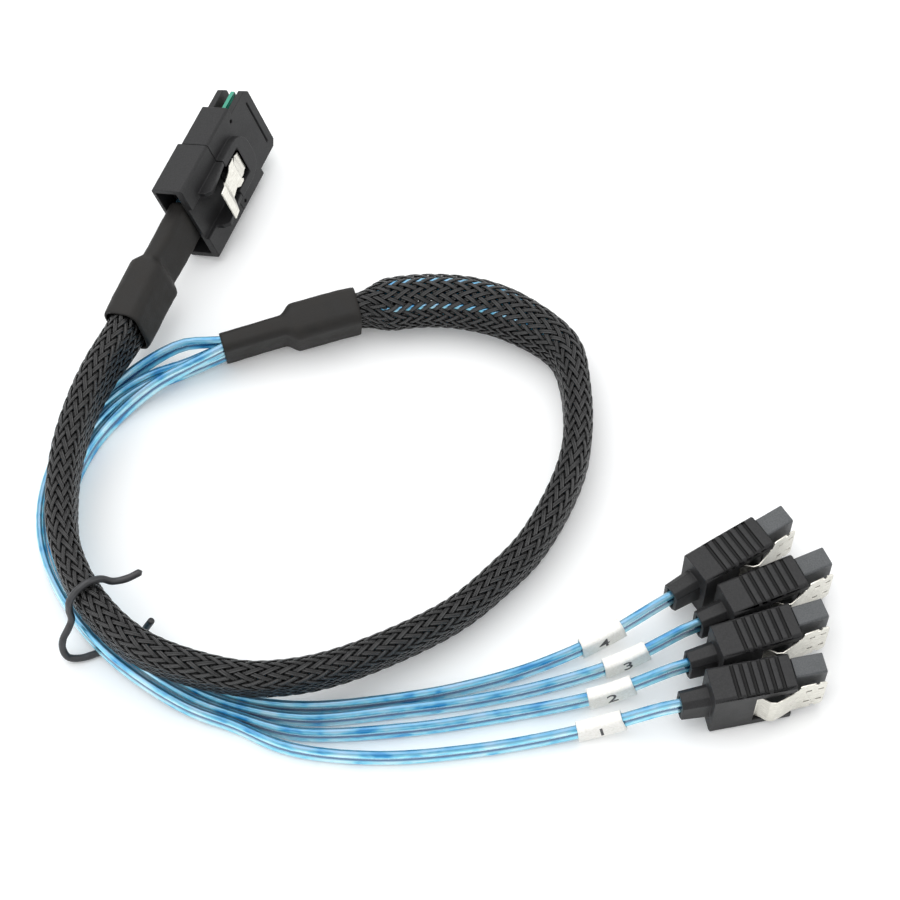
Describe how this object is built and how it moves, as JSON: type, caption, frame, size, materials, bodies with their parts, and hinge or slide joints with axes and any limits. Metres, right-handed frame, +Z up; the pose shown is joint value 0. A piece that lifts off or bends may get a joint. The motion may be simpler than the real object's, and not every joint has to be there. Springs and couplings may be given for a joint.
{
  "type": "mini sas breakout cable",
  "caption": "Internal breakout cable: one latching mini SAS plug, a braided trunk and flat cables with latching SATA plugs, coiled and tied.",
  "frame": {"origin": "on the table, under the middle of the box around the five plugs", "axes": "+Z up from the table, +Y away from the viewer along the longer side of the plugs' box, +X to the right, towards the SATA plugs"},
  "size_m": [0.1647, 0.1582, 0.0231],
  "materials": {
    "plug_plastic": "moulded, fine matt texture",
    "nose_plastic": "moulded, satin",
    "card": "solder resist over laminate, gold fingers",
    "wire_block": "low pressure moulding",
    "latch_steel": "stamped spring steel",
    "contacts": "gold plated",
    "shrink_tube": "shrunk tube, matt",
    "braid": "woven plastic strands",
    "jacket": "clear blue film over foil",
    "paper": "uncoated label",
    "tie": "plastic coated wire"
  },
  "bodies": {
    "cable": {"mini_sas_front_housing": "plug_plastic", "mini_sas_rear_shell": "plug_plastic", "paddle_card": "card", "wire_block": "wire_block", "sata_body_1": "plug_plastic", "sata_nose_1": "nose_plastic", "sata_contacts_1": "contacts", "sata_body_2": "plug_plastic", "sata_nose_2": "nose_plastic", "sata_contacts_2": "contacts", "sata_body_3": "plug_plastic", "sata_nose_3": "nose_plastic", "sata_contacts_3": "contacts", "sata_body_4": "plug_plastic", "sata_nose_4": "nose_plastic", "sata_contacts_4": "contacts", "plug_shrink_tube": "shrink_tube", "braided_sleeve": "braid", "breakout_shrink_tube": "shrink_tube", "twist_tie": "tie", "flat_cable_1": "jacket", "cable_label_1": "paper", "flat_cable_2": "jacket", "cable_label_2": "paper", "flat_cable_3": "jacket", "cable_label_3": "paper", "flat_cable_4": "jacket", "cable_label_4": "paper"},
    "plug_latch": {"mini_sas_latch": "latch_steel"},
    "sata_1_latch": {"sata_latch_1": "latch_steel"},
    "sata_2_latch": {"sata_latch_2": "latch_steel"},
    "sata_3_latch": {"sata_latch_3": "latch_steel"},
    "sata_4_latch": {"sata_latch_4": "latch_steel"}
  },
  "joints": [
    {"name": "plug_latch_press", "type": "hinge", "parent": "cable", "child": "plug_latch", "pos_m": [-0.05334, 0.05869, 0.01334], "axis": [0.3193, -0.1226, -0.9397], "range_deg": [0, 6], "stiffness_Nm_per_rad": 0.6},
    {"name": "sata_1_latch_press", "type": "hinge", "parent": "cable", "child": "sata_1_latch", "pos_m": [0.05414, -0.07291, 0.0071], "axis": [0, 0, 1], "range_deg": [0, 3], "stiffness_Nm_per_rad": 0.5},
    {"name": "sata_2_latch_press", "type": "hinge", "parent": "cable", "child": "sata_2_latch", "pos_m": [0.05603, -0.06236, 0.0071], "axis": [0, 0, 1], "range_deg": [0, 3], "stiffness_Nm_per_rad": 0.5},
    {"name": "sata_3_latch_press", "type": "hinge", "parent": "cable", "child": "sata_3_latch", "pos_m": [0.0584, -0.0519, 0.0071], "axis": [0, 0, 1], "range_deg": [0, 3], "stiffness_Nm_per_rad": 0.5},
    {"name": "sata_4_latch_press", "type": "hinge", "parent": "cable", "child": "sata_4_latch", "pos_m": [0.05249, -0.04365, 0.0071], "axis": [0, 0, 1], "range_deg": [0, 3], "stiffness_Nm_per_rad": 0.5}
  ]
}
